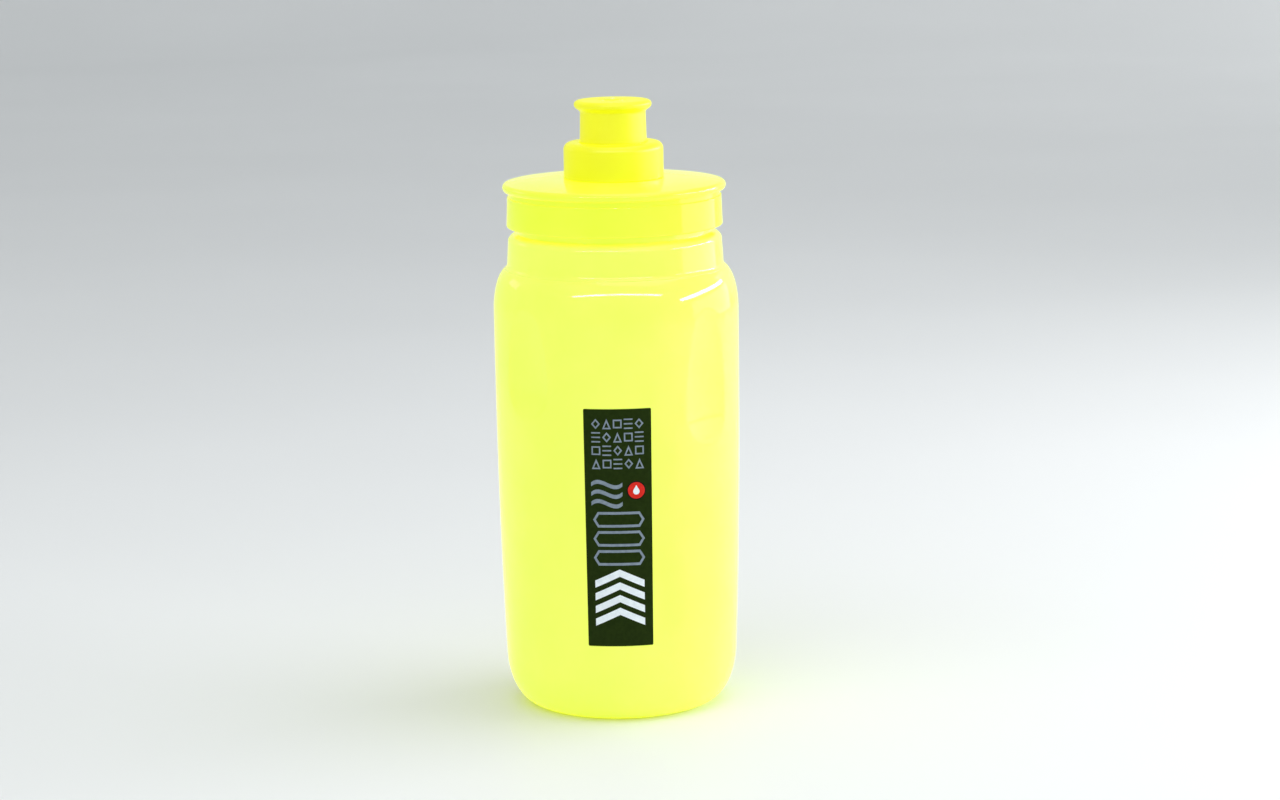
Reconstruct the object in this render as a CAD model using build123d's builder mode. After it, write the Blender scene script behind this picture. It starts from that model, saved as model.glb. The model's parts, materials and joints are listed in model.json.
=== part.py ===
from build123d import *
import math
import os

# Squeeze bottle for a bicycle: blow-moulded body, screw lid, push-pull spout and a printed label.
#
# Millimetres, +Z up. The origin is on the bottle's axis, on the surface that it stands on.
# The printed label faces -Y. Radii are measured from the bottle's axis unless a name says otherwise.

os.makedirs("parts", exist_ok=True)

# ---------------------------------------------------------------- driving dimensions: the body
BODY_R = 37.0  # a standard cage takes a 74 mm bottle
SHOULDER_START_Z = 121.0
SHOULDER_WIDTH = 5.0
SHOULDER_HEIGHT = 13.4
SIDE_TAPER_2 = 0.88  # loss of radius, mm, per (100 mm below the shoulder) squared
SIDE_TAPER_3 = 0.645  # the same, cubed
TAPER_UNIT = 100.0
BASE_ROUND_WIDTH = 8.85
BASE_ROUND_HEIGHT = 16.0
FOOT_INNER_R = 24.6
RECESS_R = 22.4
RECESS_Z = 1.9
RECESS_CENTRE_Z = 3.2
FOOT_ROUND = 0.8
RECESS_ROUND = 2.0
WALL = 1.0
FLOOR_WALL = 1.2

# Neck: a plain ring below the lid, then the finish that carries the thread.
NECK_RING_BOTTOM_R = 32.6
NECK_RING_TOP_R = 32.2
NECK_RING_TOP_Z = 144.2
NECK_RING_WALL = 1.4
FINISH_R = 28.9
NECK_RING_ROUND = 1.0
FINISH_ROOT_ROUND = 0.6
MOUTH_R = 26.9
RIM_Z = 155.0
RIM_ROUND = 0.5

# Grip flutes: shallow thumb-wide hollows round the upper body, (angle from the label, lowest point).
GRIPS = ((47.0, 83.5), (133.0, 92.0), (227.0, 83.5), (313.0, 92.0))
GRIP_DEPTH = 1.7
GRIP_HALF_WIDTH = 9.0
GRIP_TOP_Z = 126.0
GRIP_CURVE_R = 58.0
GRIP_BAND = 12.0  # how far the cutting solid reaches out past the body
GRIP_SWEEP = 24.0

# ---------------------------------------------------------------- driving dimensions: the thread
THREAD_LEAD = 4.5
THREAD_ROOT_HALF = 0.85
THREAD_CREST_HALF = 0.45
THREAD_EMBED = 0.35
BOTTLE_THREAD_CREST_R = 30.3
BOTTLE_THREAD_START_Z = 147.4
BOTTLE_THREAD_TURNS = 1.25
LID_THREAD_CREST_R = 29.6
LID_THREAD_DROP = 1.6  # the lid's ridge runs this far under the bottle's ridge
LID_THREAD_SKIP_TURNS = 0.42
LID_THREAD_TURNS = 1.25

# ---------------------------------------------------------------- driving dimensions: the lid
SKIRT_BOTTOM_Z = 146.4
SKIRT_TOP_Z = 155.5
SKIRT_BOTTOM_R = 32.62
SKIRT_TOP_R = 32.3
SKIRT_INNER_R = 30.9
SKIRT_GROOVE_R = 31.8
SKIRT_TOP_ROUND = 0.3
SKIRT_BOTTOM_ROUND = 0.5
SKIRT_INNER_ROUND = 0.4
FLANGE_R = 33.65
FLANGE_TOP_Z = 159.65
FLANGE_BOTTOM_Z = 156.95
FLANGE_ROUND = 1.3
FLANGE_LAND = 1.5
DOME_SAG = 0.35
LID_UNDERSIDE_Z = 156.6
SEAL_RIB_OUTER_R = 26.4
SEAL_RIB_INNER_R = 25.2
SEAL_RIB_BOTTOM_Z = 153.4
LID_SKIN = 1.8
COLLAR_SEAT_Z = 160.8
COLLAR_SEAT_R = 15.3
BOSS_OUTER_R = 13.2
BOSS_INNER_R = 12.0
BOSS_TOP_Z = 165.0
BOSS_BEAD = 0.25
BEAD_LOW_Z = 163.3
BEAD_HIGH_Z = 164.3
VALVE_FLOOR_Z = 161.2
CHIMNEY_OUTER_R = 6.3
CHIMNEY_INNER_R = 4.6
CHIMNEY_TOP_Z = 177.0
CHIMNEY_BOTTOM_Z = 158.0

# Sealing ring between the lid and the bottle's rim.
GASKET_INNER_R = 26.6
GASKET_OUTER_R = 30.3
GASKET_GAP = 0.05
GASKET_CHAMFER = 0.25

# ---------------------------------------------------------------- driving dimensions: the nozzle
COLLAR_R = 15.0
COLLAR_TOP_Z = 171.6
COLLAR_ROUND = 2.2
COLLAR_RING_Z = 169.3
COLLAR_BORE_R = 12.1
COLLAR_HOLE_R = 10.35
COLLAR_STEP_Z = 165.3
COLLAR_HOLE_ROUND = 0.35
COLLAR_FOOT_ROUND = 0.25
SNAP_GAP = 0.05

SPOUT_BOTTOM_Z = 161.3
SPOUT_FLANGE_R = 11.7
SPOUT_FLANGE_TOP_Z = 163.0
SPOUT_FLANGE_ROUND = 0.4
CORE_BORE_R = 6.8
CORE_R = 8.2
CORE_TOP_Z = 181.4
CORE_CEILING_Z = 179.4
CORE_HOLE_R = 4.4
CORE_LEAD_IN = 0.5

MOULD_GAP = 0.02  # keeps moulded-together faces from overlapping
TUBE_LOW_R = 10.04
TUBE_TOP_R = 9.84
TUBE_TAPER_Z = 172.3
TUBE_TOP_Z = 180.3
LIP_R = 11.65
LIP_Z = 182.9
LIP_FLARE = (0.8, 1.1)  # a point of the flare, out from and above the tube's top
LIP_CROWN = (0.45, 0.85)  # a point of the crown, in from and above the lip
CROWN_WIDTH = 1.5
SPOUT_TOP_Z = 184.1
OUTLET_R = 3.56
OUTLET_DISH_R = 4.6
OUTLET_DISH_DEPTH = 0.35

PLUG_HEAD_R = 3.5
PLUG_HEAD_ROUND = 0.4
PLUG_HEAD_BOTTOM_Z = 179.2
PLUG_NECK_R = 2.0
PLUG_CONE_Z = 177.4
PLUG_TOP_Z = 184.0
PLUG_RING_INNER_R = 3.9
PLUG_RING_BOTTOM_Z = 172.6
PLUG_FLANGE_TOP_Z = 177.9
SPOKE_COUNT = 3
SPOKE_WIDTH = 1.2
SPOKE_OVERLAP = 0.3
CROSS_LENGTH = 5.4
CROSS_WIDTH = 1.1
CROSS_TOP_Z = 184.5

SEAL_RING_R = 6.04
SEAL_SECTION_R = 0.70
SEAL_Z = 171.0
SEAL_GROOVE_R = 5.3
SEAL_GROOVE_HALF = 0.8

# ---------------------------------------------------------------- driving dimensions: the label
LABEL_BOTTOM_Z = 24.7
LABEL_TOP_Z = 96.7
LABEL_HALF_ANGLE = 15.7  # the panel covers the same angle at every height
LABEL_ROUND = 0.4
FILM_GAP = 0.01
FILM = 0.12
INK = 0.06
LABEL_DEPTH = 12.0  # how far a print shape is projected towards the bottle
LABEL_STAND_OFF = 30.0
LABEL_SWEEP = 60.0  # a wider part of the side than any print covers

ROW_COUNT = 4
ROW_TOP_GAP = 4.4
ROW_PITCH = 4.0
ROW_SYMBOLS = 5
SYMBOL_PITCH = 3.2
SYMBOL_WIDTH = 2.6
SYMBOL_HEIGHT = 3.1
FINE_STROKE = 0.42

WAVE_COUNT = 3
WAVE_LEFT = -8.0
WAVE_WIDTH = 9.2
WAVE_TOP_Z = 74.7
WAVE_PITCH = 2.9
WAVE_RISE = 0.8
WAVE_STROKE = 1.2

BADGE_X = 5.3
BADGE_Z = 72.2
BADGE_R = 2.8
BADGE_RIM = 0.3
DROP_R = 0.95
DROP_TIP = 1.6
DROP_SIDE_ANGLE = 30.0

HEXAGON_COUNT = 3
HEXAGON_TOP_Z = 65.8
HEXAGON_WIDTH = 15.2
HEXAGON_HEIGHT = 4.7
HEXAGON_PITCH = 5.8
HEXAGON_POINT = 0.6
HEXAGON_STROKE = 0.78

CHEVRON_COUNT = 4
CHEVRON_LOW_Z = 31.0
CHEVRON_PITCH = 3.9
CHEVRON_WIDTH = 14.6
CHEVRON_RISE = 3.4
CHEVRON_STROKE = 2.2

MATCH = 0.05  # how near an edge's radius and height must be to those asked for


def side_radius(z):
    """Radius of the body's side at a height: a cubic that swells from the base to the shoulder."""
    t = (SHOULDER_START_Z - z) / TAPER_UNIT
    return BODY_R - SIDE_TAPER_2 * t**2 - SIDE_TAPER_3 * t**3


def side_slope(z):
    """How fast that radius grows with height."""
    t = (SHOULDER_START_Z - z) / TAPER_UNIT
    return (2 * SIDE_TAPER_2 * t + 3 * SIDE_TAPER_3 * t**2) / TAPER_UNIT


def side_handles(low, high, low_slope, high_slope):
    """The four control points of the cubic between two points of the side."""
    third = (high.Y - low.Y) / 3
    near_low = (low.X + low_slope * third, low.Y + third)
    near_high = (high.X - high_slope * third, high.Y - third)
    return low, near_low, near_high, high


# The base rounding is an ellipse that meets the side where their slopes agree.
base_join = math.atan(side_slope(BASE_ROUND_HEIGHT) * BASE_ROUND_HEIGHT / BASE_ROUND_WIDTH)
base_join_z = BASE_ROUND_HEIGHT * (1 - math.sin(base_join))
base_centre_r = side_radius(base_join_z) - BASE_ROUND_WIDTH * math.cos(base_join)
shoulder_centre_r = BODY_R - SHOULDER_WIDTH
neck_angle = math.degrees(math.acos((NECK_RING_BOTTOM_R - shoulder_centre_r) / SHOULDER_WIDTH))


def body_section(inset, shoulder_end, floor, rim):
    """Half section of the body, its side moved in by inset and closed by the floor and rim points."""
    with BuildSketch(Plane.XZ) as section:
        with BuildLine():
            base = EllipticalCenterArc(
                (base_centre_r, BASE_ROUND_HEIGHT),
                BASE_ROUND_WIDTH - inset,
                BASE_ROUND_HEIGHT - inset,
                270,
                arc_size=90 - math.degrees(base_join),
            )
            shoulder = EllipticalCenterArc(
                (shoulder_centre_r, SHOULDER_START_Z),
                SHOULDER_WIDTH - inset,
                SHOULDER_HEIGHT - inset,
                0,
                arc_size=shoulder_end,
            )
            Bezier(*side_handles(base @ 1, shoulder @ 0, side_slope(base_join_z), 0.0))
            Polyline(shoulder @ 1, *rim)
            Polyline(base @ 0, *floor)
            Line(floor[-1], rim[-1])
        make_face()
    return section.sketch


def grip_axis(angle):
    """The upright axis, outside the bottle, that one flute's hollow curves round."""
    turn = math.radians(angle)
    reach = BODY_R - GRIP_DEPTH + GRIP_CURVE_R
    return Axis((reach * math.sin(turn), -reach * math.cos(turn), 0), (0, 0, 1))


def arc_reach(depth, reach, grow):
    """Half chord, at the body's surface, of an arc of that depth and reach enlarged by grow."""
    radius = (reach**2 + depth**2) / (2 * depth)
    return math.sqrt((radius + grow) ** 2 - (radius - depth) ** 2)


def grip_cutter(angle, bottom_z, grow):
    """Solid that hollows one flute, deepest near its lower end; grow enlarges it by a wall."""
    start = math.radians(angle - GRIP_SWEEP / 2)
    axis = grip_axis(angle)
    plane = Plane(
        origin=axis.position,
        x_dir=(-math.sin(start), math.cos(start), 0),
        z_dir=(math.cos(start), math.sin(start), 0),
    )
    deep_z = bottom_z + GRIP_HALF_WIDTH
    deep = (GRIP_CURVE_R + grow, deep_z)
    edge_r = GRIP_CURVE_R - GRIP_DEPTH
    back_r = edge_r - GRIP_BAND
    low_z = deep_z - arc_reach(GRIP_DEPTH, GRIP_HALF_WIDTH, grow)
    high_z = deep_z + arc_reach(GRIP_DEPTH, GRIP_TOP_Z - deep_z, grow)
    with BuildPart() as cutter:
        with BuildSketch(plane):
            with BuildLine():
                TangentArc(deep, (edge_r, low_z), tangent=(0, -1))
                TangentArc(deep, (edge_r, high_z), tangent=(0, 1))
                Polyline((edge_r, low_z), (back_r, low_z), (back_r, high_z), (edge_r, high_z))
            make_face()
        revolve(axis=axis, revolution_arc=GRIP_SWEEP)
    return cutter.part


def ring_edges(part, radius, height):
    """Circular edges of a part at one radius and height."""
    circles = part.edges().filter_by(GeomType.CIRCLE)
    near = circles.filter_by(lambda edge: abs(edge.radius - radius) < MATCH)
    return near.filter_by(lambda edge: abs(edge.arc_center.Z - height) < MATCH)


def thread_ridge(root_r, crest_r, start_z, turns, start_turns):
    """A trapezoidal right-hand ridge that winds up from start_z; its root is sunk into the wall."""
    sink = math.copysign(THREAD_EMBED, root_r - crest_r)
    with BuildPart() as ridge:
        with BuildLine():
            Helix(THREAD_LEAD, THREAD_LEAD * turns, (root_r + crest_r) / 2)
        with BuildSketch(Plane.XZ):
            with BuildLine():
                Polyline(
                    (root_r + sink, -THREAD_ROOT_HALF),
                    (crest_r, -THREAD_CREST_HALF),
                    (crest_r, THREAD_CREST_HALF),
                    (root_r + sink, THREAD_ROOT_HALF),
                    close=True,
                )
            make_face()
        sweep(is_frenet=True)
    lift = start_z + THREAD_LEAD * start_turns
    return ridge.part.locate(Location((0, 0, lift), (0, 0, 360 * start_turns)))


# ---------------------------------------------------------------- bottle body
def make_bottle_body():
    """Outer form and cavity are turned separately, each with its flutes, so the wall stays even."""
    floor_drop = ((FOOT_INNER_R, 0), (RECESS_R, RECESS_Z), (0, RECESS_CENTRE_Z))
    rim = (
        (NECK_RING_TOP_R, NECK_RING_TOP_Z),
        (FINISH_R, NECK_RING_TOP_Z),
        (FINISH_R, RIM_Z),
        (0, RIM_Z),
    )
    cavity_floor = (
        (FOOT_INNER_R - WALL / 2, WALL),
        (RECESS_R - WALL / 2, RECESS_Z + FLOOR_WALL),
        (0, RECESS_CENTRE_Z + FLOOR_WALL),
    )
    cavity_rim = (
        (NECK_RING_BOTTOM_R - NECK_RING_WALL, SHOULDER_START_Z + SHOULDER_HEIGHT - WALL),
        (NECK_RING_TOP_R - NECK_RING_WALL, NECK_RING_TOP_Z - NECK_RING_WALL),
        (MOUTH_R, NECK_RING_TOP_Z),
        (MOUTH_R, RIM_Z + WALL),
        (0, RIM_Z + WALL),
    )
    thread = thread_ridge(
        FINISH_R, BOTTLE_THREAD_CREST_R, BOTTLE_THREAD_START_Z, BOTTLE_THREAD_TURNS, 0.0
    )
    outer_grips = [grip_cutter(angle, bottom_z, 0.0) for angle, bottom_z in GRIPS]
    inner_grips = [grip_cutter(angle, bottom_z, WALL) for angle, bottom_z in GRIPS]
    with BuildPart() as cavity:
        revolve(body_section(WALL, 90, cavity_floor, cavity_rim), axis=Axis.Z)
        add(inner_grips, mode=Mode.SUBTRACT)
    with BuildPart() as bottle_body:
        revolve(body_section(0.0, neck_angle, floor_drop, rim), axis=Axis.Z)
        fillet(ring_edges(bottle_body, NECK_RING_TOP_R, NECK_RING_TOP_Z), NECK_RING_ROUND)
        fillet(ring_edges(bottle_body, FINISH_R, NECK_RING_TOP_Z), FINISH_ROOT_ROUND)
        fillet(ring_edges(bottle_body, FINISH_R, RIM_Z), RIM_ROUND)
        fillet(ring_edges(bottle_body, FOOT_INNER_R, 0), FOOT_ROUND)
        fillet(ring_edges(bottle_body, RECESS_R, RECESS_Z), RECESS_ROUND)
        add(outer_grips, mode=Mode.SUBTRACT)
        add(thread)
        add(cavity.part, mode=Mode.SUBTRACT)
    bottle_body.part.label = "bottle_body"
    export_step(bottle_body.part, "parts/bottle_body.step")


# ---------------------------------------------------------------- lid and its sealing ring
def make_lid():
    """Screw lid: domed top with a flange, threaded skirt, sealing rib, boss and chimney."""
    thread = thread_ridge(
        SKIRT_INNER_R,
        LID_THREAD_CREST_R,
        BOTTLE_THREAD_START_Z - LID_THREAD_DROP,
        LID_THREAD_TURNS,
        LID_THREAD_SKIP_TURNS,
    )
    flange_start = (FLANGE_R - FLANGE_LAND, FLANGE_TOP_Z)
    with BuildPart() as lid:
        with BuildSketch(Plane.XZ):
            with BuildLine():
                SagittaArc((COLLAR_SEAT_R, COLLAR_SEAT_Z), flange_start, DOME_SAG)
                Polyline(
                    flange_start,
                    (FLANGE_R, FLANGE_TOP_Z),
                    (FLANGE_R, FLANGE_BOTTOM_Z),
                    (SKIRT_GROOVE_R, FLANGE_BOTTOM_Z),
                    (SKIRT_GROOVE_R, SKIRT_TOP_Z),
                    (SKIRT_TOP_R, SKIRT_TOP_Z),
                    (SKIRT_BOTTOM_R, SKIRT_BOTTOM_Z),
                    (SKIRT_INNER_R, SKIRT_BOTTOM_Z),
                    (SKIRT_INNER_R, LID_UNDERSIDE_Z),
                    (SEAL_RIB_OUTER_R, LID_UNDERSIDE_Z),
                    (SEAL_RIB_OUTER_R, SEAL_RIB_BOTTOM_Z),
                    (SEAL_RIB_INNER_R, SEAL_RIB_BOTTOM_Z),
                    (SEAL_RIB_INNER_R, FLANGE_TOP_Z + DOME_SAG - LID_SKIN / 2),
                    (COLLAR_SEAT_R, COLLAR_SEAT_Z - LID_SKIN),
                    (BOSS_INNER_R, VALVE_FLOOR_Z - LID_SKIN),
                    (CHIMNEY_OUTER_R, VALVE_FLOOR_Z - LID_SKIN),
                    (CHIMNEY_OUTER_R, CHIMNEY_BOTTOM_Z),
                    (CHIMNEY_INNER_R, CHIMNEY_BOTTOM_Z),
                    (CHIMNEY_INNER_R, CHIMNEY_TOP_Z),
                    (CHIMNEY_OUTER_R, CHIMNEY_TOP_Z),
                    (CHIMNEY_OUTER_R, SEAL_Z + SEAL_GROOVE_HALF),
                    (SEAL_GROOVE_R, SEAL_Z + SEAL_GROOVE_HALF),
                    (SEAL_GROOVE_R, SEAL_Z - SEAL_GROOVE_HALF),
                    (CHIMNEY_OUTER_R, SEAL_Z - SEAL_GROOVE_HALF),
                    (CHIMNEY_OUTER_R, VALVE_FLOOR_Z),
                    (BOSS_INNER_R, VALVE_FLOOR_Z),
                    (BOSS_INNER_R, BOSS_TOP_Z),
                    (BOSS_OUTER_R, BOSS_TOP_Z),
                    (BOSS_OUTER_R, BEAD_HIGH_Z),
                    (BOSS_OUTER_R + BOSS_BEAD, (BEAD_LOW_Z + BEAD_HIGH_Z) / 2),
                    (BOSS_OUTER_R, BEAD_LOW_Z),
                    (BOSS_OUTER_R, COLLAR_SEAT_Z),
                    (COLLAR_SEAT_R, COLLAR_SEAT_Z),
                )
            make_face()
        revolve(axis=Axis.Z)
        fillet(ring_edges(lid, FLANGE_R, FLANGE_TOP_Z), FLANGE_ROUND)
        fillet(ring_edges(lid, FLANGE_R, FLANGE_BOTTOM_Z), FLANGE_ROUND)
        fillet(ring_edges(lid, SKIRT_TOP_R, SKIRT_TOP_Z), SKIRT_TOP_ROUND)
        fillet(ring_edges(lid, SKIRT_BOTTOM_R, SKIRT_BOTTOM_Z), SKIRT_BOTTOM_ROUND)
        fillet(ring_edges(lid, SKIRT_INNER_R, SKIRT_BOTTOM_Z), SKIRT_INNER_ROUND)
        fillet(ring_edges(lid, SKIRT_INNER_R, LID_UNDERSIDE_Z), SKIRT_INNER_ROUND)
        add(thread)
    lid.part.label = "lid"
    export_step(lid.part, "parts/lid.step")


def make_lid_gasket():
    """Flat sealing ring on the bottle's rim, held by the lid's rib."""
    with BuildPart() as lid_gasket:
        with BuildSketch(Plane.XY.offset(RIM_Z + GASKET_GAP)):
            Circle(GASKET_OUTER_R)
            Circle(GASKET_INNER_R, mode=Mode.SUBTRACT)
        extrude(amount=LID_UNDERSIDE_Z - RIM_Z - 2 * GASKET_GAP)
        chamfer(lid_gasket.edges().filter_by(GeomType.CIRCLE), GASKET_CHAMFER)
    lid_gasket.part.label = "lid_gasket"
    export_step(lid_gasket.part, "parts/lid_gasket.step")


# ---------------------------------------------------------------- nozzle
def make_nozzle_collar():
    """Collar that snaps over the lid's boss and keeps the spout's flange in."""
    bore_r = BOSS_OUTER_R + SNAP_GAP
    with BuildPart() as nozzle_collar:
        with BuildSketch(Plane.XZ):
            with BuildLine():
                Polyline(
                    (bore_r, COLLAR_SEAT_Z),
                    (COLLAR_R + SNAP_GAP, COLLAR_SEAT_Z),
                    (COLLAR_R, COLLAR_STEP_Z),
                    (COLLAR_R, COLLAR_TOP_Z),
                    (COLLAR_HOLE_R, COLLAR_TOP_Z),
                    (COLLAR_HOLE_R, COLLAR_RING_Z),
                    (COLLAR_BORE_R, COLLAR_RING_Z),
                    (COLLAR_BORE_R, COLLAR_STEP_Z),
                    (bore_r, COLLAR_STEP_Z),
                    (bore_r, BEAD_HIGH_Z + SNAP_GAP),
                    (bore_r + BOSS_BEAD, (BEAD_LOW_Z + BEAD_HIGH_Z) / 2),
                    (bore_r, BEAD_LOW_Z - SNAP_GAP),
                    close=True,
                )
            make_face()
        revolve(axis=Axis.Z)
        fillet(ring_edges(nozzle_collar, COLLAR_R, COLLAR_TOP_Z), COLLAR_ROUND)
        fillet(ring_edges(nozzle_collar, COLLAR_HOLE_R, COLLAR_TOP_Z), COLLAR_HOLE_ROUND)
        fillet(ring_edges(nozzle_collar, COLLAR_R + SNAP_GAP, COLLAR_SEAT_Z), COLLAR_FOOT_ROUND)
    nozzle_collar.part.label = "nozzle_collar"
    export_step(nozzle_collar.part, "parts/nozzle_collar.step")


def make_spout_core():
    """Rigid sleeve inside the spout; its flange stops the spout under the collar."""
    with BuildPart() as spout_core:
        with BuildSketch(Plane.XZ):
            with BuildLine():
                Polyline(
                    (CORE_BORE_R, SPOUT_BOTTOM_Z),
                    (SPOUT_FLANGE_R, SPOUT_BOTTOM_Z),
                    (SPOUT_FLANGE_R, SPOUT_FLANGE_TOP_Z),
                    (CORE_R, SPOUT_FLANGE_TOP_Z),
                    (CORE_R, CORE_TOP_Z),
                    (CORE_HOLE_R, CORE_TOP_Z),
                    (CORE_HOLE_R, CORE_CEILING_Z),
                    (CORE_BORE_R, CORE_CEILING_Z),
                    close=True,
                )
            make_face()
        revolve(axis=Axis.Z)
        chamfer(ring_edges(spout_core, CORE_BORE_R, SPOUT_BOTTOM_Z), CORE_LEAD_IN)
        fillet(ring_edges(spout_core, SPOUT_FLANGE_R, SPOUT_FLANGE_TOP_Z), SPOUT_FLANGE_ROUND)
        fillet(ring_edges(spout_core, SPOUT_FLANGE_R, SPOUT_BOTTOM_Z), SPOUT_FLANGE_ROUND)
    spout_core.part.label = "spout_core"
    export_step(spout_core.part, "parts/spout_core.step")


def make_spout_mouthpiece():
    """Soft mouthpiece moulded over the core, with a flared lip and the outlet."""
    inner_r = CORE_R + MOULD_GAP
    lining_r = CORE_HOLE_R - MOULD_GAP
    with BuildPart() as spout_mouthpiece:
        with BuildSketch(Plane.XZ):
            with BuildLine():
                tube = Line((TUBE_LOW_R, TUBE_TAPER_Z), (TUBE_TOP_R, TUBE_TOP_Z))
                flare = Spline(
                    tube @ 1,
                    (TUBE_TOP_R + LIP_FLARE[0], TUBE_TOP_Z + LIP_FLARE[1]),
                    (LIP_R, LIP_Z),
                    tangents=(tube % 1, (0, 1)),
                )
                crown = Spline(
                    flare @ 1,
                    (LIP_R - LIP_CROWN[0], LIP_Z + LIP_CROWN[1]),
                    (LIP_R - CROWN_WIDTH, SPOUT_TOP_Z),
                    tangents=((0, 1), (-1, 0)),
                )
                Polyline(
                    crown @ 1,
                    (OUTLET_DISH_R, SPOUT_TOP_Z),
                    (OUTLET_R, SPOUT_TOP_Z - OUTLET_DISH_DEPTH),
                    (OUTLET_R, CORE_CEILING_Z),
                    (lining_r, CORE_CEILING_Z),
                    (lining_r, CORE_TOP_Z + MOULD_GAP),
                    (inner_r, CORE_TOP_Z + MOULD_GAP),
                    (inner_r, SPOUT_FLANGE_TOP_Z + MOULD_GAP),
                    (TUBE_LOW_R, SPOUT_FLANGE_TOP_Z + MOULD_GAP),
                    tube @ 0,
                )
            make_face()
        revolve(axis=Axis.Z)
    spout_mouthpiece.part.label = "spout_mouthpiece"
    export_step(spout_mouthpiece.part, "parts/spout_mouthpiece.step")


def make_valve_plug():
    """Insert in the chimney's top: a ring and spokes carry the post that shuts the outlet."""
    ring_r = CHIMNEY_INNER_R - MOULD_GAP
    with BuildPart() as valve_plug:
        with BuildSketch(Plane.XZ):
            with BuildLine():
                Polyline(
                    (0, PLUG_RING_BOTTOM_Z),
                    (PLUG_NECK_R, PLUG_RING_BOTTOM_Z),
                    (PLUG_NECK_R, PLUG_CONE_Z),
                    (PLUG_HEAD_R, PLUG_HEAD_BOTTOM_Z),
                    (PLUG_HEAD_R, PLUG_TOP_Z),
                    (0, PLUG_TOP_Z),
                    close=True,
                )
            make_face()
            with BuildLine():
                Polyline(
                    (PLUG_RING_INNER_R, PLUG_RING_BOTTOM_Z),
                    (ring_r, PLUG_RING_BOTTOM_Z),
                    (ring_r, CHIMNEY_TOP_Z),
                    (CHIMNEY_OUTER_R, CHIMNEY_TOP_Z),
                    (CHIMNEY_OUTER_R, PLUG_FLANGE_TOP_Z),
                    (PLUG_RING_INNER_R, PLUG_FLANGE_TOP_Z),
                    close=True,
                )
            make_face()
        revolve(axis=Axis.Z)
        fillet(ring_edges(valve_plug, PLUG_HEAD_R, PLUG_TOP_Z), PLUG_HEAD_ROUND)
        with BuildSketch(Plane.XY.offset(PLUG_RING_BOTTOM_Z)):
            with PolarLocations((PLUG_NECK_R + PLUG_RING_INNER_R) / 2, SPOKE_COUNT):
                Rectangle(PLUG_RING_INNER_R - PLUG_NECK_R + 2 * SPOKE_OVERLAP, SPOKE_WIDTH)
        extrude(amount=CHIMNEY_TOP_Z - PLUG_RING_BOTTOM_Z)
        with BuildSketch(Plane.XY.offset(PLUG_TOP_Z)):
            Rectangle(CROSS_LENGTH, CROSS_WIDTH)
            Rectangle(CROSS_WIDTH, CROSS_LENGTH)
        extrude(amount=CROSS_TOP_Z - PLUG_TOP_Z)
    valve_plug.part.label = "valve_plug"
    export_step(valve_plug.part, "parts/valve_plug.step")


def make_spout_seal():
    """Rubber ring in the chimney's groove; the spout slides over it."""
    with BuildPart() as spout_seal:
        with BuildSketch(Plane.XZ):
            with Locations((SEAL_RING_R, SEAL_Z)):
                Circle(SEAL_SECTION_R)
        revolve(axis=Axis.Z)
    spout_seal.part.label = "spout_seal"
    export_step(spout_seal.part, "parts/spout_seal.step")


# ---------------------------------------------------------------- printed label
def print_layer(inner, outer):
    """A thin skin over the front of the body's side, from inner to outer above its surface."""
    low_z = LABEL_BOTTOM_Z - 1
    high_z = LABEL_TOP_Z + 1
    with BuildPart() as layer:
        with BuildSketch(Plane.XZ):
            with BuildLine():
                faces = []
                for stand_off in (inner, outer):
                    low = Vector(side_radius(low_z) + stand_off, low_z)
                    high = Vector(side_radius(high_z) + stand_off, high_z)
                    faces.append(Bezier(*side_handles(low, high, side_slope(low_z), side_slope(high_z))))
                Line(faces[0] @ 0, faces[1] @ 0)
                Line(faces[0] @ 1, faces[1] @ 1)
            make_face()
        revolve(axis=Axis.Z, revolution_arc=LABEL_SWEEP)
    return layer.part.rotate(Axis.Z, -90 - LABEL_SWEEP / 2)


def make_print(name, layer, shapes):
    """Project flat shapes, drawn as seen from the front, on to one layer of the print."""
    with BuildPart() as ink:
        extrude(shapes, amount=LABEL_DEPTH)
        add(layer, mode=Mode.INTERSECT)
    ink.part.label = name
    export_step(ink.part, f"parts/{name}.step")


def panel_shape():
    """The dark upright panel, a little narrower at the bottom, where the body is."""
    low = side_radius(LABEL_BOTTOM_Z) * math.sin(math.radians(LABEL_HALF_ANGLE))
    high = side_radius(LABEL_TOP_Z) * math.sin(math.radians(LABEL_HALF_ANGLE))
    with BuildSketch(Plane.XZ.offset(LABEL_STAND_OFF)) as panel:
        with BuildLine():
            Polyline(
                (-low, LABEL_BOTTOM_Z),
                (low, LABEL_BOTTOM_Z),
                (high, LABEL_TOP_Z),
                (-high, LABEL_TOP_Z),
                close=True,
            )
        make_face()
        fillet(panel.vertices(), LABEL_ROUND)
    return panel.sketch


def symbol_outline(kind):
    """The corners of one small symbol about the origin: a diamond, a triangle or a square."""
    x = SYMBOL_WIDTH / 2
    z = SYMBOL_HEIGHT / 2
    outlines = (
        ((-x, 0), (0, z), (x, 0), (0, -z)),
        ((-x, -z), (0, z), (x, -z)),
        ((-x, -x), (-x, x), (x, x), (x, -x)),
    )
    return outlines[kind]


def open_symbol(kind):
    """A small symbol drawn as a thin closed line."""
    with BuildSketch() as symbol:
        with BuildLine():
            Polyline(*symbol_outline(kind), close=True)
        make_face()
        offset(amount=-FINE_STROKE, kind=Kind.INTERSECTION, mode=Mode.SUBTRACT)
    return symbol.sketch


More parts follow.
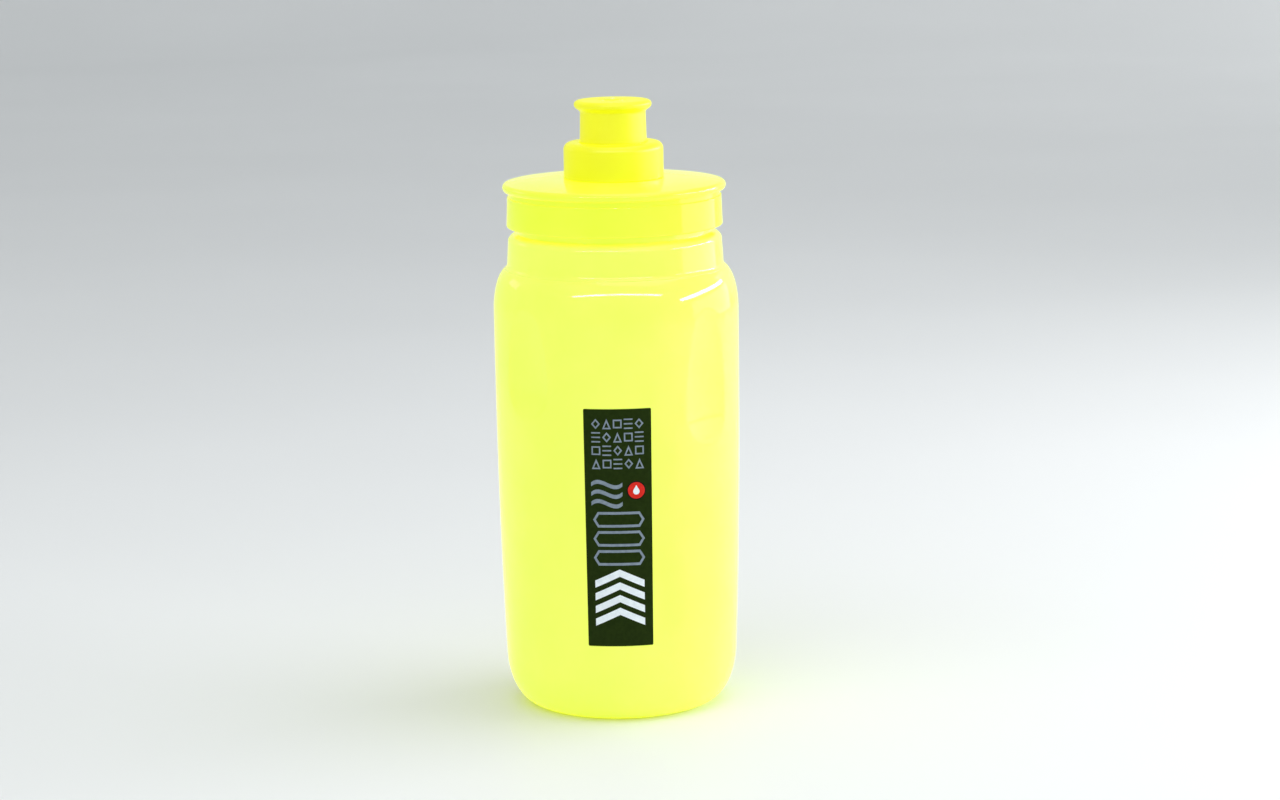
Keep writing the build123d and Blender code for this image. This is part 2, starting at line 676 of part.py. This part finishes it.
def rows_shape():
    """Four rows of small open symbols, with three dashes in place of every fourth one."""
    symbols = [open_symbol(kind) for kind in range(3)]
    dash_z = (SYMBOL_HEIGHT - FINE_STROKE) / 2
    with BuildSketch(Plane.XZ.offset(LABEL_STAND_OFF)) as rows:
        for row in range(ROW_COUNT):
            z = LABEL_TOP_Z - ROW_TOP_GAP - row * ROW_PITCH
            for column in range(ROW_SYMBOLS):
                x = (column - (ROW_SYMBOLS - 1) / 2) * SYMBOL_PITCH
                kind = (column + 3 * row) % 4
                if kind < 3:
                    with Locations((x, z)):
                        add(symbols[kind])
                else:
                    with Locations((x, z + dash_z), (x, z), (x, z - dash_z)):
                        Rectangle(SYMBOL_WIDTH, FINE_STROKE)
    return rows.sketch


def waves_shape():
    """Three stacked wave lines, the sign for water."""
    quarter = WAVE_WIDTH / 4
    with BuildSketch(Plane.XZ.offset(LABEL_STAND_OFF)) as waves:
        for index in range(WAVE_COUNT):
            z = WAVE_TOP_Z - index * WAVE_PITCH
            with BuildLine():
                edges = []
                for edge_z in (z, z - WAVE_STROKE):
                    heights = (edge_z, edge_z + WAVE_RISE, edge_z, edge_z - WAVE_RISE, edge_z)
                    points = [(WAVE_LEFT + step * quarter, height) for step, height in enumerate(heights)]
                    edges.append(Spline(*points))
                Line(edges[0] @ 0, edges[1] @ 0)
                Line(edges[0] @ 1, edges[1] @ 1)
            make_face()
    return waves.sketch


def drop_outline():
    """A water drop about the origin: a round belly drawn up to a point."""
    with BuildSketch() as drop:
        with BuildLine():
            belly = CenterArc((0, -DROP_R / 3), DROP_R, DROP_SIDE_ANGLE, -180 - 2 * DROP_SIDE_ANGLE)
            Polyline(belly @ 0, (0, DROP_TIP), belly @ 1)
        make_face()
    return drop.sketch


def badge_shape():
    """Black rim of the round badge."""
    with BuildSketch(Plane.XZ.offset(LABEL_STAND_OFF)) as badge:
        with Locations((BADGE_X, BADGE_Z)):
            Circle(BADGE_R)
            Circle(BADGE_R - BADGE_RIM, mode=Mode.SUBTRACT)
    return badge.sketch


def disc_shape():
    """The badge's red disc, left open for the drop."""
    with BuildSketch(Plane.XZ.offset(LABEL_STAND_OFF)) as disc:
        with Locations((BADGE_X, BADGE_Z)):
            Circle(BADGE_R - BADGE_RIM)
            add(drop_outline(), mode=Mode.SUBTRACT)
    return disc.sketch


def drop_shape():
    """The white drop in the middle of the badge."""
    with BuildSketch(Plane.XZ.offset(LABEL_STAND_OFF)) as drop:
        with Locations((BADGE_X, BADGE_Z)):
            add(drop_outline())
    return drop.sketch


def hexagons_shape():
    """A column of flattened hexagon frames."""
    with BuildSketch(Plane.XZ.offset(LABEL_STAND_OFF)) as hexagons:
        for index in range(HEXAGON_COUNT):
            z = HEXAGON_TOP_Z - HEXAGON_HEIGHT / 2 - index * HEXAGON_PITCH
            for inset, mode in ((0.0, Mode.ADD), (HEXAGON_STROKE, Mode.SUBTRACT)):
                half_width = HEXAGON_WIDTH / 2 - inset
                half_height = HEXAGON_HEIGHT / 2 - inset
                shoulder = half_width - half_height * HEXAGON_POINT
                with BuildLine(mode=Mode.PRIVATE) as outline:
                    Polyline(
                        (-half_width, z),
                        (-shoulder, z + half_height),
                        (shoulder, z + half_height),
                        (half_width, z),
                        (shoulder, z - half_height),
                        (-shoulder, z - half_height),
                        close=True,
                    )
                make_face(outline.line, mode=mode)
    return hexagons.sketch


def chevrons_shape():
    """Bold chevrons that point up the bottle."""
    half = CHEVRON_WIDTH / 2
    with BuildSketch(Plane.XZ.offset(LABEL_STAND_OFF)) as chevrons:
        for index in range(CHEVRON_COUNT):
            z = CHEVRON_LOW_Z + index * CHEVRON_PITCH
            with BuildLine():
                Polyline(
                    (-half, z),
                    (0, z + CHEVRON_RISE),
                    (half, z),
                    (half, z + CHEVRON_STROKE),
                    (0, z + CHEVRON_RISE + CHEVRON_STROKE),
                    (-half, z + CHEVRON_STROKE),
                    close=True,
                )
            make_face()
    return chevrons.sketch


def make_label():
    """The panel, then each piece of print on top of it."""
    film = print_layer(FILM_GAP, FILM_GAP + FILM)
    ink = print_layer(FILM_GAP + FILM, FILM_GAP + FILM + INK)
    make_print("label_panel", film, panel_shape())
    make_print("label_rows", ink, rows_shape())
    make_print("label_waves", ink, waves_shape())
    make_print("label_badge", ink, badge_shape())
    make_print("label_disc", ink, disc_shape())
    make_print("label_drop", ink, drop_shape())
    make_print("label_hexagons", ink, hexagons_shape())
    make_print("label_chevrons", ink, chevrons_shape())


make_bottle_body()
make_lid()
make_lid_gasket()
make_nozzle_collar()
make_spout_core()
make_spout_mouthpiece()
make_valve_plug()
make_spout_seal()
make_label()
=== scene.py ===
"""Looks of the bicycle water bottle: materials, detailed pieces, floor, light and camera."""
import json
import math

import bpy
import numpy as np
from mathutils import Matrix, Vector


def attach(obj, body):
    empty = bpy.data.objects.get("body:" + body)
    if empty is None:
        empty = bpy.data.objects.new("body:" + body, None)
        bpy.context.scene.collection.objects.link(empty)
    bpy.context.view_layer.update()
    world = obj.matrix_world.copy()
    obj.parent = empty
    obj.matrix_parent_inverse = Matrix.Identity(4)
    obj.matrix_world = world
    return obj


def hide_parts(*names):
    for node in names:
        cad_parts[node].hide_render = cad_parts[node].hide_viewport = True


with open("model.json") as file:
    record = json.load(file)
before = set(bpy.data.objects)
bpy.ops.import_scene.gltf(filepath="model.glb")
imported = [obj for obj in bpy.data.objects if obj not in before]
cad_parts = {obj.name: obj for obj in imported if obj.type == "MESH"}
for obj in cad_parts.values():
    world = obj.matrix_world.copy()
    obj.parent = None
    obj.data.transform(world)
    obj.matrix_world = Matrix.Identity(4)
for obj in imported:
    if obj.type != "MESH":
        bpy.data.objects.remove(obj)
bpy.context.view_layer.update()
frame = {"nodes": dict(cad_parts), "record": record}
MM = 0.001
scene = bpy.context.scene


# ---------------------------------------------------------------- node helpers
def new_material(name):
    """A material with an empty principled shader, and its node tree."""
    material = bpy.data.materials.new(name)
    material.use_nodes = True
    tree = material.node_tree
    return material, tree, tree.nodes["Principled BSDF"]


def add_node(tree, kind, **values):
    """A node of that kind with its inputs set by name."""
    node = tree.nodes.new(kind)
    for name, value in values.items():
        node.inputs[name.replace("_", " ")].default_value = value
    return node


def noise(tree, scale, detail=2.0, stretch=(1, 1, 1)):
    """Noise over the piece's own coordinates, in metres, with scale in cells per metre."""
    place = tree.nodes.new("ShaderNodeTexCoord")
    mapping = tree.nodes.new("ShaderNodeMapping")
    mapping.inputs["Scale"].default_value = stretch
    texture = add_node(tree, "ShaderNodeTexNoise", Scale=scale, Detail=detail)
    tree.links.new(place.outputs["Object"], mapping.inputs["Vector"])
    tree.links.new(mapping.outputs["Vector"], texture.inputs["Vector"])
    return texture.outputs["Fac"]


def ramp(tree, value, low, high, start=0.35, end=0.65):
    """Blend between two colours or greys by a value."""
    node = tree.nodes.new("ShaderNodeValToRGB")
    node.color_ramp.elements[0].position = start
    node.color_ramp.elements[1].position = end
    node.color_ramp.elements[0].color = low
    node.color_ramp.elements[1].color = high
    tree.links.new(value, node.inputs["Fac"])
    return node.outputs["Color"]


def map_range(tree, value, low, high):
    """Rescale a 0 to 1 value."""
    node = add_node(tree, "ShaderNodeMapRange", Value=0.0)
    node.inputs["To Min"].default_value = low
    node.inputs["To Max"].default_value = high
    tree.links.new(value, node.inputs["Value"])
    return node.outputs["Result"]


def bump(tree, shader, layers):
    """Stack bump layers of (height value, distance in metres) on the shader's normal."""
    normal = None
    for height, distance in layers:
        node = add_node(tree, "ShaderNodeBump", Distance=distance, Strength=1.0)
        tree.links.new(height, node.inputs["Height"])
        if normal:
            tree.links.new(normal, node.inputs["Normal"])
        normal = node.outputs["Normal"]
    tree.links.new(normal, shader.inputs["Normal"])


# Noise scales are in cells per metre, bump heights and scatter depths in metres.
# Painted glow: emission colours that make the plastic shine the same under any lamp. They stand partly
# for the plastic's real fluorescence and partly for painted light; the opaque one is for the nozzle
# and mouthpiece.
FLUORESCENT_PAINTED_GLOW = (1.0, 0.98, 0.03, 1)
OPAQUE_FLUORESCENT_PAINTED_GLOW = (1.0, 0.93, 0.004, 1)
PLASTIC_IOR = 1.5
SCATTER_DEPTH = 0.0015
SCATTER_SHARE = (1.0, 1.0, 0.25)
COLOUR_DRIFT_SCALE = 45
GLOSS_DRIFT_SCALE = 160
MOULD_TEXTURE_SCALE = 2600
WAVE_SCALE = 70
INK_COVER_SCALE = 900
INK_GLOSS_SCALE = 1400
INK_GRAIN_SCALE = 4000
INK_GRAIN_HEIGHT = 0.000006
INK_SPECULAR = 0.06


def plastic(
    name, low, high, rough, transmission, subsurface, glow, micro, wave, glow_colour=FLUORESCENT_PAINTED_GLOW
):
    """Moulded plastic: slow colour drift, uneven gloss, fine mould texture, slow waviness, and a
    painted glow standing in for its real fluorescence.
    """
    material, tree, shader = new_material(name)
    drift = noise(tree, COLOUR_DRIFT_SCALE, 3)
    gloss = noise(tree, GLOSS_DRIFT_SCALE, 3)
    tree.links.new(ramp(tree, drift, low, high), shader.inputs["Base Color"])
    tree.links.new(map_range(tree, gloss, *rough), shader.inputs["Roughness"])
    shader.inputs["IOR"].default_value = PLASTIC_IOR
    shader.inputs["Transmission Weight"].default_value = transmission
    shader.inputs["Subsurface Weight"].default_value = subsurface
    shader.inputs["Subsurface Radius"].default_value = SCATTER_SHARE
    shader.inputs["Subsurface Scale"].default_value = SCATTER_DEPTH
    # Painted glow: a steady emission, partly the plastic's real fluorescence and partly painted light
    # that lifts its shaded sides and lights the table near it.
    shader.inputs["Emission Color"].default_value = glow_colour
    shader.inputs["Emission Strength"].default_value = glow
    texture = noise(tree, MOULD_TEXTURE_SCALE, 2)
    bump(tree, shader, [(texture, micro), (noise(tree, WAVE_SCALE, 2), wave)])
    return material


def ink(name, low, high, rough=(0.35, 0.5)):
    """Printed ink: slightly uneven cover, satin."""
    material, tree, shader = new_material(name)
    cover = noise(tree, INK_COVER_SCALE, 4)
    gloss = noise(tree, INK_GLOSS_SCALE, 3)
    tree.links.new(ramp(tree, cover, low, high), shader.inputs["Base Color"])
    tree.links.new(map_range(tree, gloss, *rough), shader.inputs["Roughness"])
    shader.inputs["Specular IOR Level"].default_value = INK_SPECULAR
    bump(tree, shader, [(noise(tree, INK_GRAIN_SCALE, 2), INK_GRAIN_HEIGHT)])
    return material


# Every plastic except the gasket carries the painted glow, set by glow and glow_colour.
MATERIALS = {
    "body_plastic": plastic(
        "body_plastic",
        low=(0.46, 0.62, 0.15, 1),
        high=(0.50, 0.66, 0.18, 1),
        rough=(0.05, 0.08),
        transmission=0.2,
        subsurface=0.3,
        glow=0.44,
        micro=0.000001,
        wave=0.00004,
    ),
    "lid_plastic": plastic(
        "lid_plastic",
        low=(0.45, 0.62, 0.045, 1),
        high=(0.49, 0.66, 0.065, 1),
        rough=(0.06, 0.10),
        transmission=0.15,
        subsurface=0.2,
        glow=0.44,
        micro=0.000002,
        wave=0.00001,
    ),
    "nozzle_plastic": plastic(
        "nozzle_plastic",
        low=(0.50, 0.54, 0.004, 1),
        high=(0.55, 0.59, 0.007, 1),
        rough=(0.34, 0.40),
        transmission=0.0,
        subsurface=0.1,
        glow=0.44,
        micro=0.000004,
        wave=0.00001,
        glow_colour=OPAQUE_FLUORESCENT_PAINTED_GLOW,
    ),
    "mouthpiece_soft": plastic(
        "mouthpiece_soft",
        low=(0.50, 0.54, 0.005, 1),
        high=(0.55, 0.59, 0.009, 1),
        rough=(0.36, 0.42),
        transmission=0.0,
        subsurface=0.1,
        glow=0.44,
        micro=0.000005,
        wave=0.00001,
        glow_colour=OPAQUE_FLUORESCENT_PAINTED_GLOW,
    ),
    "plug_plastic": plastic(
        "plug_plastic",
        low=(0.46, 0.62, 0.09, 1),
        high=(0.50, 0.66, 0.12, 1),
        rough=(0.15, 0.25),
        transmission=0.0,
        subsurface=0.2,
        glow=0.42,
        micro=0.000003,
        wave=0.00001,
    ),
    "gasket_rubber": plastic(
        "gasket_rubber",
        low=(0.72, 0.74, 0.66, 1),
        high=(0.80, 0.82, 0.74, 1),
        rough=(0.45, 0.6),
        transmission=0.0,
        subsurface=0.3,
        glow=0.0,
        micro=0.000008,
        wave=0.00002,
    ),
    "print_dark": ink("print_dark", (0.011, 0.024, 0.001, 1), (0.015, 0.030, 0.002, 1)),
    "print_grey": ink("print_grey", (0.20, 0.25, 0.31, 1), (0.25, 0.31, 0.38, 1)),
    "print_black": ink("print_black", (0.004, 0.004, 0.004, 1), (0.008, 0.008, 0.008, 1)),
    "print_red": ink("print_red", (0.66, 0.022, 0.014, 1), (0.74, 0.032, 0.022, 1)),
    "print_white": ink("print_white", (0.78, 0.86, 0.92, 1), (0.86, 0.94, 0.99, 1)),
}


def paint_nodes():
    """Give every CAD node the material of its slot in the record."""
    for row in frame["record"]["subparts"]:
        node = frame["nodes"][row["node"]]
        node.data.materials.clear()
        node.data.materials.append(MATERIALS[row["material_slot"]])


# ---------------------------------------------------------------- bottle body
# The body's own dimensions, in millimetres and degrees, as the CAD model has them, but with softer
# edges on the flutes and the neck ring, and with the mould's parting lines added.
BODY_R = 37.0
SHOULDER_Z = 121.0
SHOULDER_SIZE = (5.0, 13.4)  # across and up
BASE_SIZE = (8.85, 16.0)  # across and up
SIDE_TAPER = (0.88, 0.645)
WALL = 1.0
FOOT_R = 24.6
RECESS = (22.4, 1.9)  # radius and height of its edge
RECESS_CENTRE_Z = 3.2
NECK_RING = (32.6, 32.2, 144.2)  # radius at its foot, radius at its top, top
NECK_RING_ROUND = 2.2
NECK_FOOT_R = 1.8
NECK_FOOT_START = 233.6
NECK_FOOT_TURN = 8.5
NECK_FOOT_RISE = 1.45
FINISH_R = 28.9
MOUTH_R = 26.9
RIM_Z = 155.0
THREAD_LEAD = 4.5
THREAD_START_Z = 147.4
THREAD_TURNS = 1.25
THREAD_HEIGHT = 1.4
THREAD_HALF = (0.85, 0.45)  # half its height at the root and at the crest
THREAD_FADE_TURNS = 0.03
# Each flute's angle from the label and the height of its lower end.
GRIPS = ((47.0, 83.5), (133.0, 92.0), (227.0, 83.5), (313.0, 92.0))
GRIP_DEPTH = 1.7
GRIP_HALF_WIDTH = 9.0
GRIP_TOP_Z = 126.0
GRIP_CURVE_R = 58.0
GRIP_BLEND = 0.16
GRIP_REACH = 30.0
NO_GRIP = 1e3
SEAM_ANGLES = (90.0, 270.0)
SEAM_HEIGHT = 0.07
SEAM_HALF_ANGLE = 0.45
RIM_ROUND = 0.5
FINISH_ROOT_R = 0.6
RECESS_EDGE_R = 1.5
# Rows of the mesh along each stretch.
BASE_STEPS = 22
SHOULDER_STEPS = 26
OUTSIDE_STEPS = 96
INSIDE_STEPS = 60
THREAD_STEPS = 56


def side_radius(z):
    """Radius of the body's side at heights below the shoulder."""
    t = (SHOULDER_Z - z) / 100
    return BODY_R - SIDE_TAPER[0] * t**2 - SIDE_TAPER[1] * t**3


def side_slope(z):
    """How fast that radius grows with height."""
    t = (SHOULDER_Z - z) / 100
    return (2 * SIDE_TAPER[0] * t + 3 * SIDE_TAPER[1] * t**2) / 100


def arc(centre, radii, start, end, steps):
    """Points (r, z) along an elliptical arc, angles in degrees."""
    turn = np.radians(np.linspace(start, end, steps))
    return np.column_stack((centre[0] + radii[0] * np.cos(turn), centre[1] + radii[1] * np.sin(turn)))


def straight(start, end, steps):
    """Points (r, z) along a line, ends left out."""
    share = np.linspace(0, 1, steps + 2)[1:-1, None]
    return np.array(start) * (1 - share) + np.array(end) * share


def body_side(inset, shoulder_end, side_steps):
    """Base rounding, side and shoulder, from the foot up, moved inwards by inset."""
    join = math.atan(side_slope(BASE_SIZE[1]) * BASE_SIZE[1] / BASE_SIZE[0])
    join_z = BASE_SIZE[1] * (1 - math.sin(join))
    base_r = side_radius(join_z) - BASE_SIZE[0] * math.cos(join)
    radii = (BASE_SIZE[0] - inset, BASE_SIZE[1] - inset)
    base = arc((base_r, BASE_SIZE[1]), radii, 270, 360 - math.degrees(join), BASE_STEPS)
    heights = np.linspace(base[-1, 1], SHOULDER_Z, side_steps)[1:-1]
    side = np.column_stack((side_radius(heights) - inset, heights))
    centre = (BODY_R - SHOULDER_SIZE[0], SHOULDER_Z)
    radii = (SHOULDER_SIZE[0] - inset, SHOULDER_SIZE[1] - inset)
    shoulder = arc(centre, radii, 0, shoulder_end, SHOULDER_STEPS)
    return np.vstack((base, side, shoulder))


def body_rows():
    """The whole section as rows of (r, z): up the outside from the base's middle, then back inside."""
    ring_low, ring_top, ring_z = NECK_RING
    neck_angle = math.degrees(math.acos((ring_low - BODY_R + SHOULDER_SIZE[0]) / SHOULDER_SIZE[0]))
    outside = body_side(0.0, neck_angle - NECK_FOOT_TURN, OUTSIDE_STEPS)
    foot_z = outside[-1, 1] + NECK_FOOT_RISE
    inside = body_side(WALL, 90, INSIDE_STEPS)
    edge = NECK_RING_ROUND
    lip = RIM_ROUND
    root = FINISH_ROOT_R
    hollow = RECESS_EDGE_R
    shape = (
        [(0.05, RECESS_CENTRE_Z)],
        straight((0, RECESS_CENTRE_Z), (RECESS[0] - hollow, RECESS[1] + 0.1), 10),
        arc((RECESS[0] - hollow, RECESS[1] - 1.4), (hollow, hollow), 90, 25, 5),
        arc((FOOT_R + 0.5, root), (root, root), 195, 270, 5),
        straight((FOOT_R + 0.7, 0), (outside[0, 0] - 0.2, 0), 1),
        outside,
        arc((ring_low + NECK_FOOT_R, foot_z), (NECK_FOOT_R, NECK_FOOT_R), NECK_FOOT_START, 180, 16),
        straight((ring_low, foot_z), (ring_top, ring_z - edge), 6),
        arc((ring_top - edge, ring_z - edge), (edge, edge), 0, 90, 18),
        straight((ring_top - edge, ring_z), (FINISH_R + root, ring_z), 2),
        arc((FINISH_R + root, ring_z + root), (root, root), 270, 180, 5),
        straight((FINISH_R, ring_z + root), (FINISH_R, RIM_Z - lip), THREAD_STEPS),
        arc((FINISH_R - lip, RIM_Z - lip), (lip, lip), 0, 90, 5),
        arc((MOUTH_R + lip, RIM_Z - lip), (lip, lip), 90, 180, 5),
        straight((MOUTH_R, RIM_Z - lip), (MOUTH_R, ring_z), 6),
        arc((MOUTH_R + 1.0, ring_z), (1.0, 1.0), 180, 225, 3),
        arc((ring_top - 2.6, ring_z - 2.6), (1.2, 1.2), 90, 0, 5),
        straight((ring_top - 1.4, ring_z - 3), (ring_low - 1.4, inside[-1, 1]), 5),
        inside[::-1],
        straight((inside[0, 0], WALL), (RECESS[0], RECESS[1] + 1.0), 3),
        straight((RECESS[0] - 0.5, RECESS[1] + 1.2), (0.05, RECESS_CENTRE_Z + 1.2), 8),
        [(0.05, RECESS_CENTRE_Z + 1.2)],
    )
    return np.vstack([np.array(piece, float).reshape(-1, 2) for piece in shape])


def grip_radius(angle, z, grip_angle, bottom_z, grow):
    """Where one flute's hollow lies along each ray, or NO_GRIP where there is none."""
    deep_z = bottom_z + GRIP_HALF_WIDTH
    reach = np.where(z < deep_z, GRIP_HALF_WIDTH, GRIP_TOP_Z - deep_z)
    bend = (reach**2 + GRIP_DEPTH**2) / (2 * GRIP_DEPTH)
    rise = (bend + grow) ** 2 - (z - deep_z) ** 2
    curve_r = GRIP_CURVE_R - bend + np.sqrt(np.maximum(rise, 0))
    turn = np.radians((angle - grip_angle + 180) % 360 - 180)
    away = BODY_R - GRIP_DEPTH + GRIP_CURVE_R
    inside = curve_r**2 - (away * np.sin(turn)) ** 2
    hit = (rise > 0) & (inside > 0) & (np.abs(turn) < math.radians(GRIP_REACH))
    return np.where(hit, away * np.cos(turn) - np.sqrt(np.maximum(inside, 0)), NO_GRIP)


def soft_min(a, b, blend):
    """The lower of two surfaces, with their crease rounded over a height of blend."""
    share = np.clip(0.5 + 0.5 * (b - a) / blend, 0, 1)
    return b * (1 - share) + a * share - blend * share * (1 - share)


def thread_rise(angle, z):
    """Height of the thread's ridge above the finish."""
    turn = ((angle - 90) % 360) / 360
    rise = np.zeros_like(z)
    for lap in (0, 1):
        along = turn + lap
        off = np.abs(z - THREAD_START_Z - THREAD_LEAD * along)
        ridge = np.clip((THREAD_HALF[0] - off) / (THREAD_HALF[0] - THREAD_HALF[1]), 0, 1)
        ends = np.clip(np.minimum(along, THREAD_TURNS - along) / THREAD_FADE_TURNS, 0, 1)
        rise = np.maximum(rise, ridge * ends)
    return rise * THREAD_HEIGHT


def lathe(name, radii, heights, angles):
    """A closed mesh turned from a grid: radii[row, column] at heights[row], angles from the label."""
    rows, columns = radii.shape
    turn = np.radians(angles)[None, :]
    x = radii * np.sin(turn)
    y = -radii * np.cos(turn)
    z = np.broadcast_to(heights[:, None], radii.shape)
    vertices = np.stack((x, y, z), axis=-1).reshape(-1, 3) * MM
    row = np.arange(rows - 1)[:, None] * columns
    here = np.arange(columns)[None, :]
    after = (here + 1) % columns
    corners = (row + here, row + after, row + columns + after, row + columns + here)
    quads = np.stack(corners, axis=-1)
    low_end = [tuple(int(i) for i in here[0][::-1])]
    high_end = [tuple(int(i) + (rows - 1) * columns for i in here[0])]
    mesh = bpy.data.meshes.new(name)
    mesh.from_pydata(vertices.tolist(), [], quads.reshape(-1, 4).tolist() + low_end + high_end)
    mesh.shade_smooth()
    piece = bpy.data.objects.new(name, mesh)
    scene.collection.objects.link(piece)
    return piece


def make_body():
    """The blown body, with soft-edged flutes, the thread and the mould's parting lines."""
    rows = body_rows()
    seam_steps = SEAM_HALF_ANGLE * np.array((-1.0, -0.5, 0.0, 0.5, 1.0))
    seams = [seam + step for seam in SEAM_ANGLES for step in seam_steps]
    angles = np.unique(np.concatenate((np.arange(0.0, 360.0, 1.0), seams)))
    r = np.repeat(rows[:, :1], len(angles), axis=1)
    z = np.repeat(rows[:, 1:], len(angles), axis=1)
    angle = np.repeat(angles[None, :], len(rows), axis=0)
    inner = np.arange(len(rows))[:, None] > int(np.argmax(rows[:, 1]))
    side = (z > BASE_SIZE[1]) & (z < SHOULDER_Z + SHOULDER_SIZE[1]) & (r > BODY_R - 6)
    for grip_angle, bottom_z in GRIPS:
        for region, grow in ((side & ~inner, 0.0), (side & inner, WALL)):
            hollow = grip_radius(angle, z, grip_angle, bottom_z, grow)
            r = np.where(region, soft_min(r, hollow, GRIP_BLEND), r)
    finish = (~inner) & (np.abs(r - FINISH_R) < 0.01)
    r = r + np.where(finish, thread_rise(angle, z), 0)
    for seam in SEAM_ANGLES:
        off = np.abs((angle - seam + 180) % 360 - 180)
        ridge = np.clip(1 - off / SEAM_HALF_ANGLE, 0, 1)
        r = r + np.where(~inner & (z > 2) & (z < NECK_RING[2] - 1), SEAM_HEIGHT * ridge, 0)
    body = lathe("body_shell", r, rows[:, 1], angles)
    body.data.materials.append(MATERIALS["body_plastic"])
    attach(body, "bottle")
    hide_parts("bottle_body")


# ---------------------------------------------------------------- surroundings
# In metres, like the lights and the camera.
FLOOR_R = 2.6
FLOOR_BEND_R = 0.9
FLOOR_TOP_Z = 1.6
FLOOR_COLUMNS = 96
FLOOR_RINGS = (0.15, 0.4, 0.8, 1.4, FLOOR_R)


def make_floor():
    """Wide pale table, the same on every side, that curves up far from the bottle."""
    profile = [(r, 0.0) for r in FLOOR_RINGS]
    for turn in np.radians(np.linspace(0, 90, 19))[1:]:
        bend_r = FLOOR_R + FLOOR_BEND_R * math.sin(turn)
        profile.append((bend_r, FLOOR_BEND_R * (1 - math.cos(turn))))
    profile.append((FLOOR_R + FLOOR_BEND_R, FLOOR_TOP_Z))
    angles = np.radians(np.arange(FLOOR_COLUMNS) * 360 / FLOOR_COLUMNS)
    vertices = [(r * math.sin(turn), -r * math.cos(turn), z) for r, z in profile for turn in angles]
    faces = [tuple(range(FLOOR_COLUMNS))]
    for row in range(len(profile) - 1):
        low = row * FLOOR_COLUMNS
        high = low + FLOOR_COLUMNS
        for here in range(FLOOR_COLUMNS):
            after = (here + 1) % FLOOR_COLUMNS
            faces.append((low + here, high + here, high + after, low + after))
    mesh = bpy.data.meshes.new("table")
    mesh.from_pydata(vertices, [], faces)
    mesh.shade_smooth()
    table = bpy.data.objects.new("table", mesh)
    scene.collection.objects.link(table)
    material, tree, shader = new_material("table")
    paper = ramp(tree, noise(tree, 3, 2), (0.79, 0.805, 0.81, 1), (0.81, 0.825, 0.83, 1))
    tree.links.new(paper, shader.inputs["Base Color"])
    shader.inputs["Roughness"].default_value = 0.55
    mesh.materials.append(material)


def add_light(name, at, aim, size, power, gloss_only=False, no_gloss=False):
    """A rectangular area light, aimed at a point; size is (width, height) in metres.

    A gloss_only light shows only in reflections, and a no_gloss light never does.
    """
    data = bpy.data.lights.new(name, "AREA")
    data.shape = "RECTANGLE"
    data.size, data.size_y = size
    data.energy = power
    lamp = bpy.data.objects.new(name, data)
    lamp.location = at
    lamp.rotation_euler = (Vector(aim) - Vector(at)).to_track_quat("-Z", "Y").to_euler()
    lamp.visible_camera = False
    lamp.visible_diffuse = not gloss_only
    lamp.visible_glossy = not no_gloss
    scene.collection.objects.link(lamp)


STUDIO_COLOUR = (0.955, 0.985, 1.0, 1)
STUDIO_STRENGTH = 0.58


def light_scene():
    """A soft studio: a wide box overhead, thin strips in front and at the right, and weak fills."""
    world = bpy.data.worlds.new("studio")
    world.use_nodes = True
    background = world.node_tree.nodes["Background"]
    background.inputs["Color"].default_value = STUDIO_COLOUR
    background.inputs["Strength"].default_value = STUDIO_STRENGTH
    scene.world = world
    middle = (0, 0, 0.13)
    add_light("overhead", (0.25, 0.0, 1.2), (0.10, 0.0, 0), (1.2, 1.0), 4.6)
    add_light("front_strip", (0.03, -1.2, 0.86), middle, (2.4, 0.05), 12, gloss_only=True)
    add_light("right_strip", (0.75, 0.08, 0.31), middle, (0.95, 0.05), 4.5)
    add_light("wall_right", (2.2, 1.6, 1.3), (1.6, 3.6, 1.0), (1.2, 0.8), 22, no_gloss=True)
    add_light("right_box", (0.78, 0.20, 0.13), middle, (0.9, 0.22), 1.0, gloss_only=True)
    add_light("left_fill", (-0.30, -0.45, 0.60), (-0.05, -0.02, 0.0), (0.6, 0.6), 1.5, no_gloss=True)
    add_light("left_rear_box", (-0.9, 0.55, 0.45), middle, (0.35, 0.20), 0.25, gloss_only=True)


SENSOR_WIDTH = 36.0
LENS = 94.4
CAMERA_AT = (0.0068, -1.0045, 0.2776)
CAMERA_DOWN = 10.44
CAMERA_ROLL = -0.913


def make_camera():
    """Camera at the height and distance that the outline of the bottle gives."""
    data = bpy.data.cameras.new("camera")
    data.sensor_width = SENSOR_WIDTH
    data.lens = LENS
    camera = bpy.data.objects.new("camera", data)
    scene.collection.objects.link(camera)
    tilt = Matrix.Rotation(math.radians(90 - CAMERA_DOWN), 4, "X")
    roll = Matrix.Rotation(math.radians(CAMERA_ROLL), 4, "Z")
    camera.matrix_world = Matrix.Translation(CAMERA_AT) @ tilt @ roll
    scene.camera = camera


paint_nodes()
make_body()
make_floor()
light_scene()
make_camera()
scene.view_settings.view_transform = "Standard"
